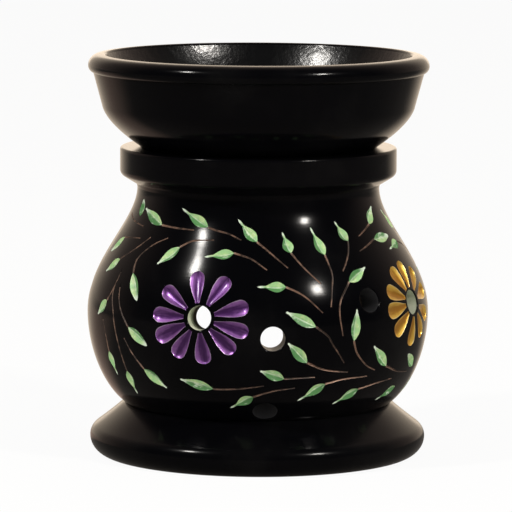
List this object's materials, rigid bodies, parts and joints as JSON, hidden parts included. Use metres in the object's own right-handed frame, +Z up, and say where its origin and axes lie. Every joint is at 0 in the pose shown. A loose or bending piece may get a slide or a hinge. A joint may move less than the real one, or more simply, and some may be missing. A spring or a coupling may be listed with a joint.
{
  "type": "essential oil burner",
  "caption": "Turned black soapstone oil burner: a lift-off bowl on a pierced, flower-carved belly with collar and flared foot, and a tealight that slides in through a rear doorway.",
  "frame": {"origin": "centre of the foot, on the surface that it stands on", "axes": "+Z up along the turning axis, +Y out through the rear doorway, -Y the painted front, +X to the right of the front"},
  "size_m": [0.085, 0.0848, 0.0995],
  "materials": {
    "foot_stone": "polished",
    "body_stone": "polished, with carved and painted flowers, leaves and stems",
    "bowl_stone": "polished",
    "cup_foil": "drawn foil",
    "wax": "paraffin wax",
    "wick_cotton": "braided cotton, waxed",
    "tinned_disc": "tinned"
  },
  "bodies": {
    "lamp": {"foot": "foot_stone", "burner_body": "body_stone"},
    "bowl": {"oil_bowl": "bowl_stone"},
    "tealight": {"tealight_cup": "cup_foil", "tealight_wax": "wax", "wick": "wick_cotton", "wick_sustainer": "tinned_disc"}
  },
  "joints": [
    {"name": "bowl_lift", "type": "slide", "parent": "lamp", "child": "bowl", "axis": [0, 0, 1], "range_m": [0, 0.04]},
    {"name": "tealight_slide", "type": "slide", "parent": "lamp", "child": "tealight", "axis": [0, 1, 0], "range_m": [0, 0.075]}
  ]
}
